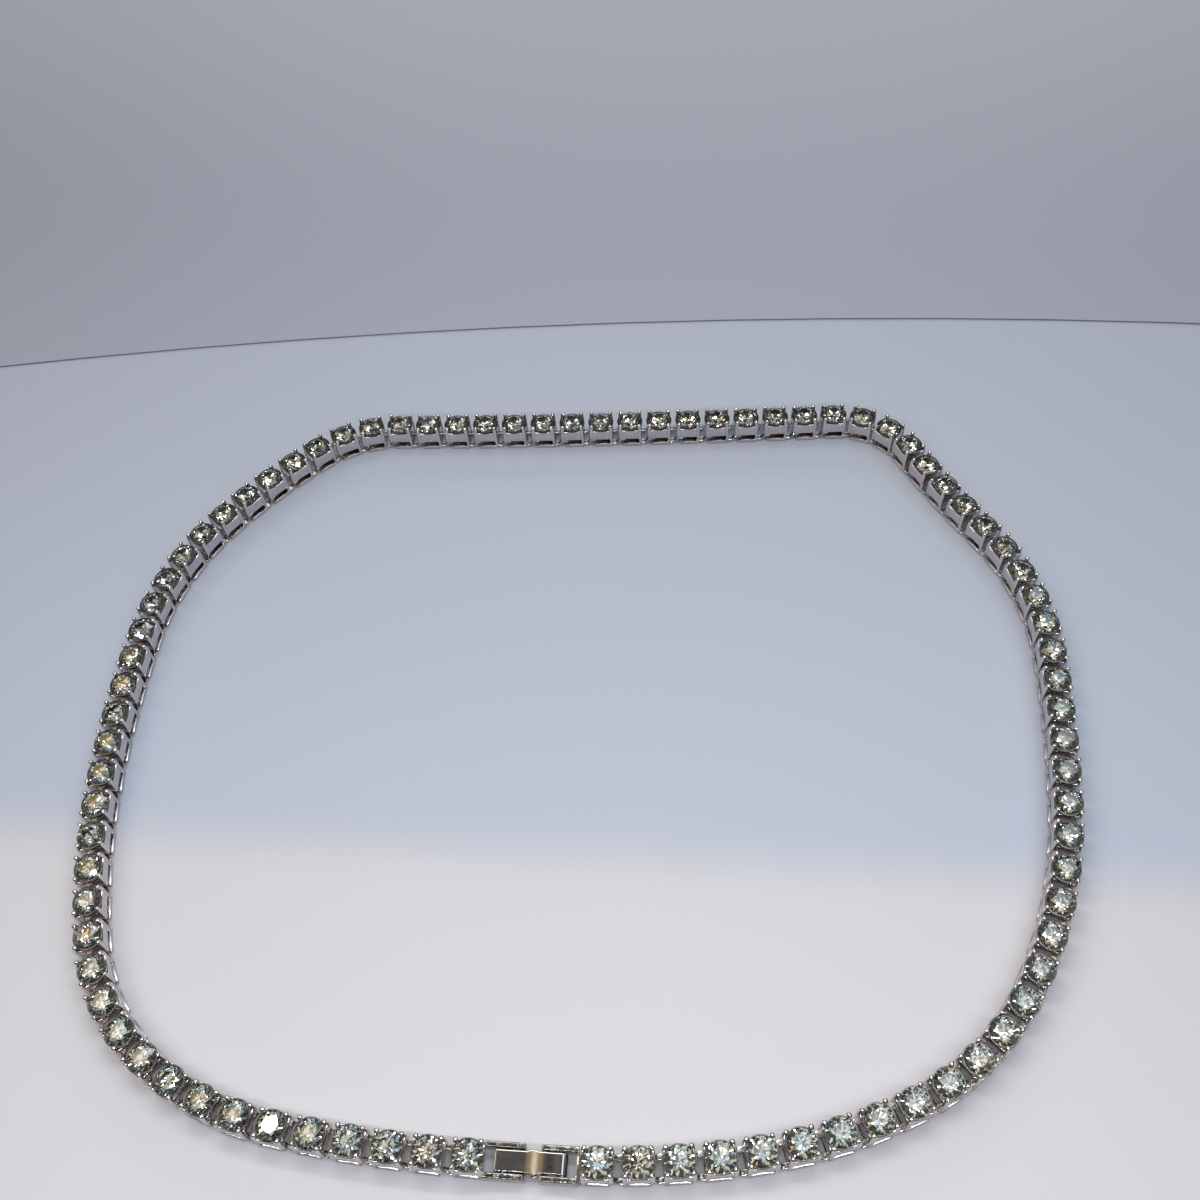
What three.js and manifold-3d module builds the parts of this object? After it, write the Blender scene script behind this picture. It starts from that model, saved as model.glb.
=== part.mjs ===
// Tennis necklace: round stones in square four-prong settings, hinged one to the next in a
// closed loop that lies flat, and fastened by a fold-over clasp at the front.
// Millimetres, +Z up, resting on z = 0, with the clasp along X at the front (low Y).
import * as THREE from 'three';
import { mergeVertices } from 'three/addons/utils/BufferGeometryUtils.js';
import Module from 'manifold-3d';

// ---- driving dimensions ----
const PITCH = 5.0; // hinge to hinge, one setting
const CLASP_SPAN = 10.85; // from the last hinge on the left to the first hinge on the right

const LINK_LENGTH = 4.04;
const LINK_WIDTH = 4.1;
const BASE_TOP = 0.75; // top of the base rails
const PLATE_BOTTOM = 1.75; // underside of the side plates, above the slot
const PLATE_TOP = 3.62;
const LEG = 0.52; // length of the legs that carry the plates, along the chain
const BASE_LENGTH = 3.5; // the base stops short of the front end, where the next one's hooks enter
const PRONG = 0.62; // width of a prong's foot
const PRONG_SET_IN = 0.03; // how far inside the plates' edges it stands
const PRONG_TOP = 4.95;
const PRONG_ROOT = 0.2; // depth of its foot inside the plates

const STONE_RADIUS = 2.05;
const STONE_FLOOR = 3.2;
const STONE_FLOOR_RADIUS = 1.0;
const GIRDLE_HEIGHT = 4.2;
const TABLE_HEIGHT = 4.82;
const TABLE_RADIUS = 1.17;
const STONE_SIDES = 8;

const HOOK_INNER = 0.95; // the two hooks' inner and outer sides, from the middle of the chain
const HOOK_OUTER = 1.7;
const HOOK_TIP_OUTER = 1.25;
const HOOK_SHOULDER = 0.45; // they keep their width this far past the back of their setting
const HOOK_BOTTOM = 0.15;
const HOOK_TOP = 0.62;
const HOOK_REACH = 1.7; // from the back of a setting into the one behind it
const HOOK_REACH_FREE = 0.88; // the same where the one behind is another solid

const RAIL_BOTTOM = 0.5;
const RAIL_TOP = 2.6;
const RAIL_WIDTH = 0.72;
const FRAME_WIDTH = 4.34;
const LEFT_RAIL_END = -1.05; // the rails' inner ends, from the middle of the clasp
const RIGHT_RAIL_END = 0.9;
const RIGHT_FRAME_BACK = 5.55;
const CROSSBAR = 0.28;
const CROSSBAR_TOP = 1.8;
const PIN_SIDES = 12;
const HOOK_PIN = { x: -3.8, z: 1.45, radius: 0.36 }; // in the left frame, held by the base leaf's lip
const LEAF_PIN = { x: 1.22, z: 1.22, radius: 0.24 }; // in the right frame, through the base leaf
const COVER_PIN = { x: 3.55, z: 1.9, radius: 0.2 }; // in the right frame, the cover's hinge

const LEAF_WIDTH = 2.3;
const LEAF_FLARE = 0.24; // extra width on each side between the frames
const FLARE_START = -0.75;
const FLARE_END = 0.6;
const LEAF_LEFT = -4.78;
const BASE_LEAF_BOTTOM = 0.5;
const BASE_LEAF_TOP = 0.8;
const LIP_TOP = 1.75;
const LIP = 0.28;
const KNUCKLE = { radius: 0.72, bore: 0.5 }; // the base leaf's curled right end

const COVER_BOTTOM = 2.2;
const COVER_TOP = 2.6;
const COVER_LIP_BOTTOM = 2.05;
const BARREL = { radius: 0.7, bore: 0.46 }; // the cover's curled right end

// The chain, from the right end of the clasp anticlockwise seen from above. Each stretch is one
// solid. heading: the way its last setting points, in degrees; the settings turn evenly up to it.
const STRETCHES = [
  { name: 'front_right_inner', links: 5, heading: 12 },
  { name: 'front_right_outer', links: 4, heading: 28 },
  { name: 'front_right_curve', links: 5, heading: 64 },
  { name: 'right_side_front', links: 5, heading: 85 },
  { name: 'right_side_back', links: 5, heading: 91 },
  { name: 'rear_right_curve', links: 5, heading: 126 },
  { name: 'rear_right_slope', links: 4, heading: 120 },
  { name: 'rear_right_corner', links: 3, heading: 185 },
  { name: 'rear_row_right', links: 7, heading: 184 },
  { name: 'rear_row_left', links: 8, heading: 182 },
  { name: 'rear_left_corner', links: 3, heading: 223 },
  { name: 'rear_left_slope', links: 4, heading: 236 },
  { name: 'rear_left_curve', links: 5, heading: 268 },
  { name: 'left_side_back', links: 5, heading: 276 },
  { name: 'left_side_front', links: 5, heading: 289 },
  { name: 'front_left_curve', links: 4, heading: 326 },
  { name: 'front_left_outer', links: 4, heading: 352 },
  { name: 'front_left_inner', links: 4, heading: 358 },
  { name: 'clasp_end', links: 1, heading: 360 },
];

const STEEL = { color: 0x9b9a98, metalness: 1, roughness: 0.22 };
const LEAF_STEEL = { color: 0x5d5a57, metalness: 1, roughness: 0.18 };

const wasm = await Module();
wasm.setup();

// ---- solids ----
function solidOf(geometry) {
  const bare = geometry.index ? geometry.toNonIndexed() : geometry.clone();
  bare.deleteAttribute('normal');
  bare.deleteAttribute('uv');
  const merged = mergeVertices(bare, 1e-4);
  const mesh = new wasm.Mesh({
    numProp: 3,
    vertProperties: new Float32Array(merged.attributes.position.array),
    triVerts: new Uint32Array(merged.index.array),
  });
  return new wasm.Manifold(mesh);
}

function geometryOf(solid) {
  const mesh = solid.getMesh();
  const geometry = new THREE.BufferGeometry();
  geometry.setAttribute('position', new THREE.BufferAttribute(mesh.vertProperties, 3));
  geometry.setIndex(new THREE.BufferAttribute(mesh.triVerts, 1));
  geometry.computeVertexNormals();
  return geometry;
}

function join(geometries) {
  return geometries.map(solidOf).reduce((whole, piece) => whole.add(piece));
}

function block(x0, x1, y0, y1, z0, z1) {
  const geometry = new THREE.BoxGeometry(x1 - x0, y1 - y0, z1 - z0);
  return geometry.translate((x0 + x1) / 2, (y0 + y1) / 2, (z0 + z1) / 2);
}

// A cylinder along Y through (x, z).
function crossCylinder(x, z, radius, halfWidth, sides) {
  const geometry = new THREE.CylinderGeometry(radius, radius, 2 * halfWidth, sides);
  return geometry.translate(x, 0, z);
}

// A side profile in X and Z, given a width along Y and centred on the chain.
function sideProfile(points, width) {
  const shape = new THREE.Shape(points.map(([x, z]) => new THREE.Vector2(x, z)));
  const geometry = new THREE.ExtrudeGeometry(shape, { depth: width, bevelEnabled: false });
  return geometry.rotateX(Math.PI / 2).translate(0, width / 2, 0);
}

// A plan outline in X and Y, standing from z0 to z1.
function planPlate(shape, z0, z1) {
  const geometry = new THREE.ExtrudeGeometry(shape, {
    depth: z1 - z0,
    bevelEnabled: false,
    curveSegments: 8,
  });
  return geometry.translate(0, 0, z0);
}

// ---- one setting, centred on its own place and pointing along +X ----
// Plates over a slot: the legs stand at the back, and the slot is open at the front.
function settingBody() {
  const back = -LINK_LENGTH / 2;
  const front = LINK_LENGTH / 2;
  return sideProfile(
    [
      [back, 0],
      [back + BASE_LENGTH, 0],
      [back + BASE_LENGTH, BASE_TOP],
      [back + LEG, BASE_TOP],
      [back + LEG, PLATE_BOTTOM],
      [front, PLATE_BOTTOM],
      [front, PLATE_TOP],
      [back, PLATE_TOP],
    ],
    LINK_WIDTH,
  );
}

function stone() {
  const profile = [
    [0, STONE_FLOOR],
    [STONE_FLOOR_RADIUS, STONE_FLOOR],
    [STONE_RADIUS, GIRDLE_HEIGHT],
    [TABLE_RADIUS, TABLE_HEIGHT],
    [0, TABLE_HEIGHT],
  ];
  const points = profile.map(([r, z]) => new THREE.Vector2(r, z));
  const geometry = new THREE.LatheGeometry(points, STONE_SIDES, Math.PI / STONE_SIDES);
  return geometry.rotateX(Math.PI / 2);
}

// Four claws that rise from the corners and taper to their tips.
function prongs() {
  const height = PRONG_TOP - PLATE_TOP + PRONG_ROOT;
  const x = (LINK_LENGTH - PRONG) / 2 - PRONG_SET_IN;
  const y = (LINK_WIDTH - PRONG) / 2 - PRONG_SET_IN;
  const claw = new THREE.ConeGeometry(PRONG / Math.SQRT2, height, 4);
  claw.rotateX(Math.PI / 2).rotateZ(Math.PI / 4).translate(0, 0, PRONG_TOP - height / 2);
  const all = [];
  for (const sx of [-1, 1]) {
    for (const sy of [-1, 1]) {
      all.push(claw.clone().translate(sx * x, sy * y, 0));
    }
  }
  return all;
}

// The two hooks at the back, which run into the slot of the setting behind and narrow to their
// tips, so that the chain can bend. A reach of 0 leaves them out.
function hooks(reach) {
  if (reach === 0) {
    return [];
  }
  const back = -LINK_LENGTH / 2;
  const root = back + LEG / 2;
  const shoulder = back - HOOK_SHOULDER;
  const tip = back - reach;
  return [-1, 1].map((side) => {
    const outline = [
      [root, side * HOOK_INNER],
      [root, side * HOOK_OUTER],
      [shoulder, side * HOOK_OUTER],
      [tip, side * HOOK_TIP_OUTER],
      [tip, side * HOOK_INNER],
    ];
    const shape = new THREE.Shape(outline.map(([x, y]) => new THREE.Vector2(x, y)));
    return planPlate(shape, HOOK_BOTTOM, HOOK_TOP);
  });
}

function setting(reach) {
  return geometryOf(join([settingBody(), stone(), ...prongs(), ...hooks(reach)]));
}

// ---- the route ----
// Steps from hinge to hinge, then shares out the small closing error over all the settings.
function walkChain() {
  const places = [];
  let heading = 0;
  let x = CLASP_SPAN / 2;
  let y = 0;
  for (const stretch of STRETCHES) {
    const start = heading;
    for (let i = 1; i <= stretch.links; i += 1) {
      heading = start + ((stretch.heading - start) * i) / stretch.links;
      const angle = THREE.MathUtils.degToRad(heading);
      const dx = Math.cos(angle) * PITCH;
      const dy = Math.sin(angle) * PITCH;
      const reach = i === 1 ? HOOK_REACH_FREE : HOOK_REACH;
      places.push({ stretch: stretch.name, reach, angle, x: x + dx / 2, y: y + dy / 2 });
      x += dx;
      y += dy;
    }
  }
  places[0].reach = 0; // the clasp's crossbar is its hinge
  const errorX = x + CLASP_SPAN / 2;
  places.forEach((place, i) => {
    const share = (i + 0.5) / places.length;
    place.x -= errorX * share;
    place.y -= y * share;
  });
  return places;
}

function settingAt(place) {
  const turn = new THREE.Matrix4().makeRotationZ(place.angle);
  return setting(place.reach).applyMatrix4(turn).translate(place.x, place.y, 0);
}

// ---- clasp ----
function rails(x0, x1) {
  const outer = FRAME_WIDTH / 2;
  const inner = outer - RAIL_WIDTH;
  return [
    block(x0, x1, inner, outer, RAIL_BOTTOM, RAIL_TOP),
    block(x0, x1, -outer, -inner, RAIL_BOTTOM, RAIL_TOP),
  ];
}

// A pin between the two rails of a frame.
function crossPin({ x, z, radius }) {
  return crossCylinder(x, z, radius, FRAME_WIDTH / 2 - RAIL_WIDTH / 2, PIN_SIDES);
}

// The last setting on the left, with the two rails and the pin soldered to its front end.
function claspEnd(place) {
  const front = place.x + LINK_LENGTH / 2;
  return join([
    settingAt(place),
    ...rails(front - LEG, LEFT_RAIL_END),
    crossPin(HOOK_PIN),
  ]);
}

function rightFrame() {
  const half = FRAME_WIDTH / 2 - RAIL_WIDTH / 2;
  const back = RIGHT_FRAME_BACK;
  return join([
    ...rails(RIGHT_RAIL_END, back),
    block(back - CROSSBAR, back, -half, half, RAIL_BOTTOM, CROSSBAR_TOP),
    crossPin(LEAF_PIN),
    crossPin(COVER_PIN),
  ]);
}

// A leaf's plan: straight sides with a rounded flare between the frames, for the fingertips.
function leafShape(x0, x1) {
  const half = LEAF_WIDTH / 2;
  const wide = half + LEAF_FLARE;
  const middle = (FLARE_START + FLARE_END) / 2;
  const shape = new THREE.Shape();
  shape.moveTo(x0, -half);
  shape.lineTo(FLARE_START, -half);
  shape.quadraticCurveTo(middle, -2 * wide + half, FLARE_END, -half);
  shape.lineTo(x1, -half);
  shape.lineTo(x1, half);
  shape.lineTo(FLARE_END, half);
  shape.quadraticCurveTo(middle, 2 * wide - half, FLARE_START, half);
  shape.lineTo(x0, half);
  shape.closePath();
  return shape;
}

// A leaf with its right end curled into a barrel round a pin.
function curledLeaf(parts, pin, { radius, bore }) {
  const half = LEAF_WIDTH / 2;
  const barrel = crossCylinder(pin.x, pin.z, radius, half, 2 * PIN_SIDES);
  const hole = crossCylinder(pin.x, pin.z, bore, LEAF_WIDTH, PIN_SIDES);
  return join([...parts, barrel]).subtract(solidOf(hole));
}

function baseLeaf() {
  const half = LEAF_WIDTH / 2;
  const plate = planPlate(leafShape(LEAF_LEFT, LEAF_PIN.x), BASE_LEAF_BOTTOM, BASE_LEAF_TOP);
  const lip = block(LEAF_LEFT, LEAF_LEFT + LIP, -half, half, BASE_LEAF_BOTTOM, LIP_TOP);
  return curledLeaf([plate, lip], LEAF_PIN, KNUCKLE);
}

function coverLeaf() {
  const half = LEAF_WIDTH / 2;
  const plate = planPlate(leafShape(LEAF_LEFT, COVER_PIN.x), COVER_BOTTOM, COVER_TOP);
  const lip = block(LEAF_LEFT, LEAF_LEFT + LIP, -half, half, COVER_LIP_BOTTOM, COVER_TOP);
  return curledLeaf([plate, lip], COVER_PIN, BARREL);
}

// ---- assembly ----
function piece(name, solid, finish) {
  const mesh = new THREE.Mesh(geometryOf(solid), new THREE.MeshStandardMaterial(finish));
  mesh.name = name;
  return mesh;
}

function chainPieces(places) {
  return STRETCHES.filter(({ name }) => name !== 'clasp_end').map(({ name }) => {
    const links = places.filter(({ stretch }) => stretch === name);
    return piece(`chain_${name}`, join(links.map(settingAt)), STEEL);
  });
}

function necklace() {
  const places = walkChain();
  const loop = new THREE.Group();
  loop.add(...chainPieces(places));
  loop.add(piece('clasp_end_left', claspEnd(places[places.length - 1]), STEEL));
  loop.add(piece('clasp_frame_right', rightFrame(), STEEL));
  loop.add(piece('clasp_base_leaf', baseLeaf(), LEAF_STEEL));
  loop.add(piece('clasp_cover', coverLeaf(), LEAF_STEEL));
  const box = new THREE.Box3().setFromObject(loop);
  loop.position.set(-(box.min.x + box.max.x) / 2, -(box.min.y + box.max.y) / 2, 0);
  const whole = new THREE.Group();
  whole.add(loop);
  whole.updateMatrixWorld(true);
  return whole;
}

export default necklace();
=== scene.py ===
"""Tennis necklace: the finished surfaces of its settings, stones and clasp, on a pale table."""

import enum
import logging
import math
from dataclasses import dataclass, field

import bpy
import numpy as np
from mathutils import Matrix, Vector


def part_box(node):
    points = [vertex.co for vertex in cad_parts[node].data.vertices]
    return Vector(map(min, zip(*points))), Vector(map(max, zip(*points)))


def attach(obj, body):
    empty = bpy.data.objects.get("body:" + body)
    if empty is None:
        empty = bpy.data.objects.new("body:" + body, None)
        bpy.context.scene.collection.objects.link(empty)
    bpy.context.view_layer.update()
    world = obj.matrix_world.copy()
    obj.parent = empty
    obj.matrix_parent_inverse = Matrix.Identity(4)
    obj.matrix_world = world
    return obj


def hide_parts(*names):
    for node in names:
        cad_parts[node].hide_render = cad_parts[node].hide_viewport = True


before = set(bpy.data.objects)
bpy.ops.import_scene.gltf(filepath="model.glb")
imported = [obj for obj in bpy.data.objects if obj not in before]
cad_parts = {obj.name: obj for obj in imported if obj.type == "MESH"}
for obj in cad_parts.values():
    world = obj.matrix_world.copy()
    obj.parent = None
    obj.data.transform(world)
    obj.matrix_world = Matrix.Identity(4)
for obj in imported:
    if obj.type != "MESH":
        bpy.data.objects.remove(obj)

LOG = logging.getLogger("necklace")
MM = 0.001
SEED = 7
METAL_SHARP = 38.0
STONE_SHARP = 1.0

Triple = tuple[float, float, float]
Colour = Triple
Socket = bpy.types.NodeSocket
Material = bpy.types.Material
Thing = bpy.types.Object


class Body(enum.Enum):
    """The bodies that pieces ride on."""

    NECKLACE = "necklace"
    COVER = "cover"


class Slot(enum.Enum):
    """Names of material slots."""

    SETTING = "setting_metal"
    STONE = "stone"
    CLASP = "clasp_metal"
    LEAF = "leaf_metal"


class Axis(enum.IntEnum):
    """The axes, by their column in a row of X, Y and Z."""

    X = 0
    Y = 1
    Z = 2


# ---- surfaces as arrays ----


@dataclass
class Surface:
    """Points in millimetres and the faces between them.

    Attributes:
        points: One row of X, Y and Z for each point.
        faces: Corner numbers, one array for each number of corners.
        finish: The number of the finish that every face has.
    """

    points: np.ndarray
    faces: list[np.ndarray]
    finish: int = 0

    def turned(self, turns: np.ndarray, centres: np.ndarray) -> "Surface":
        """Copies the surface to many places, each turned and then moved.

        Args:
            turns: A 3 by 3 matrix for each place.
            centres: A row of X, Y and Z for each place.

        Returns:
            All the copies as one surface.
        """
        points = np.einsum("kij,nj->kni", turns, self.points) + centres[:, None, :]
        steps = np.arange(len(centres))[:, None, None] * len(self.points)
        faces = [(f[None] + steps).reshape(-1, f.shape[1]) for f in self.faces]
        return Surface(points.reshape(-1, 3), faces, self.finish)

    def moved(self, x: float, y: float, z: float) -> "Surface":
        """Returns the surface moved by X, Y and Z."""
        return Surface(self.points + np.array([x, y, z]), self.faces, self.finish)

    def both_sides(self) -> list["Surface"]:
        """Returns the surface and its mirror image across the XZ plane, also right side out."""
        return [self, Surface(self.points * [1, -1, 1], [f[:, ::-1] for f in self.faces],
                              self.finish)]


def turning(axis: Axis, angles: np.ndarray) -> np.ndarray:
    """Turns about an axis: each angle's cosine and sine in the other two axes' rows and columns.

    Args:
        axis: The axis to turn about.
        angles: Angles in radians.

    Returns:
        One 3 by 3 matrix for each angle.
    """
    one, two = (axis + 1) % 3, (axis + 2) % 3
    turns = np.zeros((len(angles), 3, 3))
    turns[:, axis, axis] = 1.0
    turns[:, one, one] = turns[:, two, two] = np.cos(angles)
    turns[:, two, one] = np.sin(angles)
    turns[:, one, two] = -turns[:, two, one]
    return turns


def circle(steps: int) -> np.ndarray:
    """Returns evenly spaced angles once round, in radians."""
    return np.linspace(0, 2 * math.pi, steps, endpoint=False)


def rings_of(x: np.ndarray, y: np.ndarray, z: np.ndarray) -> np.ndarray:
    """Spreads X, Y and Z over the same rows and columns, and puts them together as points."""
    return np.stack(np.broadcast_arrays(x, y, z), axis=-1)


def loft(rings: np.ndarray, closed: bool = False, finish: int = 0) -> Surface:
    """Joins rings of points with quads, row to row and round each ring.

    The rings run anticlockwise seen from the side that the rows advance to, so the faces look
    outwards. Each end gets a flat cap, unless the last ring joins the first.

    Args:
        rings: Points as rows, columns and X, Y, Z.
        closed: Whether the rows close on themselves.
        finish: The finish number.

    Returns:
        The closed surface.
    """
    rows, columns, _ = rings.shape
    count = rows if closed else rows - 1
    row, column = np.meshgrid(np.arange(count), np.arange(columns), indexing="ij")
    after, above = (column + 1) % columns, (row + 1) % rows
    corners = [row * columns + column, row * columns + after,
               above * columns + after, above * columns + column]
    faces = [np.stack(corners, axis=-1).reshape(-1, 4)]
    if not closed:
        first = np.arange(columns)
        faces.append(np.stack([first[::-1], first + (rows - 1) * columns]))
    return Surface(rings.reshape(-1, 3), faces, finish)


def outline(half_x: float, half_y: float, radius: float, side: int, corner: int) -> np.ndarray:
    """A rectangle with round corners: four quarter circles joined by straight runs.

    Args:
        half_x: Half of its length.
        half_y: Half of its width.
        radius: The corners' radius.
        side: Extra points along each straight run.
        corner: Steps in each quarter circle.

    Returns:
        One row of X and Y for each point, anticlockwise.
    """
    arc = np.linspace(0.0, math.pi / 2, corner + 1)
    angles = arc[None, :] + np.arange(4)[:, None] * math.pi / 2
    centre = np.array([[1, 1], [-1, 1], [-1, -1], [1, -1]]) * [half_x - radius, half_y - radius]
    arcs = centre[:, None, :] + radius * np.stack([np.cos(angles), np.sin(angles)], axis=-1)
    share = (np.arange(side) + 1.0) / (side + 1.0)
    start, end = arcs[:, -1], np.roll(arcs[:, 0], -1, axis=0)
    runs = start[:, None, :] + (end - start)[:, None, :] * share[None, :, None]
    return np.concatenate([arcs, runs], axis=1).reshape(-1, 2)


def rounded_block(low: Triple, high: Triple, radius: float, edge: float,
                  side: int = 0) -> Surface:
    """A block with round upright edges and quarter-round rims at its top and bottom.

    Each ring is the plan outline drawn in by edge (1 - sin t) at height edge (1 - cos t).

    Args:
        low: Its lowest corner.
        high: Its highest corner.
        radius: Radius of the upright edges.
        edge: Radius of the rims.
        side: Extra points along each straight side.

    Returns:
        The closed surface.
    """
    half, middle = (np.array(high) - low) / 2, (np.array(high) + low) / 2
    turn = np.radians([0.0, 45.0, 90.0])
    inset, rise = edge * (1 - np.sin(turn)), edge * (1 - np.cos(turn))
    insets = np.concatenate([inset, inset[::-1]])
    heights = np.concatenate([rise - half[2], half[2] - rise[::-1]])
    rings = []
    for draw_in, height in zip(insets, heights):
        plan = outline(half[0] - draw_in, half[1] - draw_in, max(radius - draw_in, 0.02), side, 3)
        rings.append(np.column_stack([plan, np.full(len(plan), height)]))
    return loft(np.array(rings) + middle)


def spun_y(x: float, z: float, along: np.ndarray, size: np.ndarray, steps: int,
           closed: bool = False) -> Surface:
    """A profile turned about a line along Y: a circle for each of its points.

    Args:
        x: Where the line lies along X.
        z: Its height.
        along: The profile's places along Y.
        size: Its distances from the line.
        steps: Points in each circle.
        closed: Whether the profile closes on itself.

    Returns:
        The closed surface.
    """
    turn = circle(steps)
    return loft(rings_of(x + size[:, None] * np.sin(turn), along[:, None],
                         z + size[:, None] * np.cos(turn)), closed)


# ---- the chain's route ----


@dataclass(frozen=True)
class Stretch:
    """One node's run of settings: its name, how many, and the last one's heading in degrees."""

    name: str
    links: int
    heading: float


@dataclass
class Route:
    """Where every setting lies, from the right end of the clasp anticlockwise seen from above.

    Each step goes one pitch along its heading, and the headings turn evenly over a stretch. All
    the settings share the small closing error evenly.
    """

    pitch: float = 5.0
    clasp_span: float = 10.85
    stretches: tuple[Stretch, ...] = tuple(Stretch(*row) for row in (
        ("front_right_inner", 5, 12), ("front_right_outer", 4, 28), ("front_right_curve", 5, 64),
        ("right_side_front", 5, 85), ("right_side_back", 5, 91),
        ("rear_right_curve", 5, 126), ("rear_right_slope", 4, 120), ("rear_right_corner", 3, 185),
        ("rear_row_right", 7, 184), ("rear_row_left", 8, 182),
        ("rear_left_corner", 3, 223), ("rear_left_slope", 4, 236), ("rear_left_curve", 5, 268),
        ("left_side_back", 5, 276), ("left_side_front", 5, 289),
        ("front_left_curve", 4, 326), ("front_left_outer", 4, 352), ("front_left_inner", 4, 358),
        ("clasp_end", 1, 360),
    ))

    def walk(self, origin: np.ndarray) -> tuple[np.ndarray, np.ndarray, np.ndarray]:
        """Works out every setting's place.

        Args:
            origin: The middle of the clasp, as X, Y and Z in millimetres.

        Returns:
            The headings in radians, the settings' middles, and each one's stretch number.
        """
        counts = np.array([s.links for s in self.stretches])
        ends = np.array([s.heading for s in self.stretches], float)
        starts = np.concatenate([[0.0], ends[:-1]])
        number = np.repeat(np.arange(len(counts)), counts)
        within = np.concatenate([np.arange(1, n + 1) / n for n in counts])
        heading = np.radians(starts[number] + (ends - starts)[number] * within)
        step = self.pitch * np.column_stack([np.cos(heading), np.sin(heading)])
        reached = np.cumsum(step, axis=0) + [self.clasp_span / 2, 0.0]
        middle = reached - step / 2
        error = reached[-1] + [self.clasp_span / 2, 0.0]
        share = (np.arange(len(step)) + 0.5) / len(step)
        middle -= error * share[:, None]
        centres = np.column_stack([middle, np.zeros(len(middle))]) + origin
        return heading, centres, number


# ---- one setting and its stone ----


@dataclass
class Setting:
    """A square four-prong setting, centred on its own place and pointing along +X."""

    half: float = 2.02
    corner: float = 0.3
    post: float = 0.6
    panel_depth: float = 0.09
    wall: float = 0.36
    plate_bottom: float = 1.75
    floor_top: float = 1.98
    rim_middle: float = 3.7
    rim_lift: float = 0.3
    rim_round: float = 0.09
    cup_out: float = 2.03
    cup_swell: float = 0.15
    cup_in: float = 1.85
    cup_foot: float = 3.95
    cup_top: float = 4.25
    cup_lip: float = 0.05
    base_top: float = 0.78
    base_bow: float = 0.3
    base_rim: float = 0.24
    base_front: float = 1.5
    leg: float = 0.52
    claw_foot: float = 3.5
    claw_tip: float = 4.94
    claw_out: float = 1.678
    claw_in: float = 1.58
    claw_radius: float = 0.35
    claw_dome: float = 0.26
    hook_inner: float = 0.95
    hook_outer: float = 1.88
    hook_tip_outer: float = 1.5
    hook_thick: float = 0.19
    hook_low: float = 0.4
    hook_high: float = 1.2
    hook_reach: float = 2.3
    hook_root: float = 0.3
    hook_climb: tuple[float, float] = (0.5, 0.75)
    hook_straight: float = 0.88

    def plan(self, inset: float) -> np.ndarray:
        """The basket's outline: round corner posts, and panels set in a little between them.

        One quarter is a corner's arc and the panel after it. The others are its quarter turns.

        Args:
            inset: How far the whole outline is drawn in.

        Returns:
            One row of X and Y for each point, anticlockwise.
        """
        radius = max(self.corner - inset, 0.06)
        arc = np.linspace(0.0, math.pi / 2, 5)
        centre = self.half - inset - radius
        corner = centre + radius * np.column_stack([np.cos(arc), np.sin(arc)])
        share = np.array([0.0, 0.02, 0.15, 0.32, 0.5, 0.68, 0.85, 0.98, 1.0])
        depth = np.where((share > 0) & (share < 1), self.panel_depth, 0.0)
        reach = self.half - self.post
        panel = np.column_stack([reach - 2 * reach * share, self.half - inset - depth])
        turns = turning(Axis.Z, np.arange(4) * math.pi / 2)[:, :2, :2]
        return np.einsum("kij,nj->kni", turns, np.concatenate([corner, panel])).reshape(-1, 2)

    def basket(self) -> Surface:
        """The four plates as one wall with corner posts, its rim dipping in an arc on each side.

        The wall's profile goes up the outside, over the rim and down the inside. The rim rises
        with the square of the distance from the middle of each side.

        Returns:
            The closed wall.
        """
        lip = self.rim_round
        inset = np.array([0.08, 0.02, 0.0, 0.0, 0.0, 0.03, lip, self.wall - lip, self.wall,
                          self.wall, self.wall - 0.05])
        climb = self.rim_middle - self.plate_bottom
        height = np.array([0.0, 0.03, 0.1, 0.5 * climb, climb - 0.15, climb - 0.04, climb, climb,
                           climb - 0.07, 0.6, 0.0])
        raised = np.array([0, 0, 0, 0.2, 1, 1, 1, 1, 1, 0.1, 0], float)
        rings = []
        for draw_in, z, lift in zip(inset, height, raised):
            plan = self.plan(draw_in)
            off = np.minimum(np.abs(plan).min(axis=1) / self.half, 1.0)
            top = self.plate_bottom + z + lift * self.rim_lift * off**2
            rings.append(np.column_stack([plan, top]))
        return loft(np.array(rings), closed=True)

    def floor(self) -> Surface:
        """The basket's closed underside, below the stone."""
        reach = self.half - self.wall / 2
        return rounded_block((-reach, -reach, self.plate_bottom), (reach, reach, self.floor_top),
                             0.1, 0.03)

    def cup(self) -> Surface:
        """The cup that the stone lies in, darkened as painted shade: a profile turned about Z.

        The profile goes up the outside, over a round lip and down the sloping inside to a small
        hole under the stone's point. The outside is an ellipse, wider towards the neighbours.

        Returns:
            The closed cup.
        """
        out, lip, foot = self.cup_out, self.cup_lip, self.floor_top - 0.02
        side, top = self.cup_foot, self.cup_top
        radius = np.array([0.12, 0.9, out - 0.45, out - 0.06, out, out, out - 0.3 * lip, out - lip,
                           self.cup_in + 0.02, self.cup_in - 0.04, 0.3, 0.12])
        height = np.array([foot, foot + 0.05, side - 0.4, side, side + 0.06, top - lip,
                           top - 0.3 * lip, top, top - 0.02, top - 0.3, foot + 0.25, foot + 0.2])
        turn = circle(32)
        wide = radius + self.cup_swell * (radius > out - 0.1)
        # Finish 2 is the seat's dark metal: painted shade in the hollow under the stone.
        return loft(rings_of(wide[:, None] * np.cos(turn), radius[:, None] * np.sin(turn),
                             height[:, None]), closed=True, finish=2)

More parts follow.
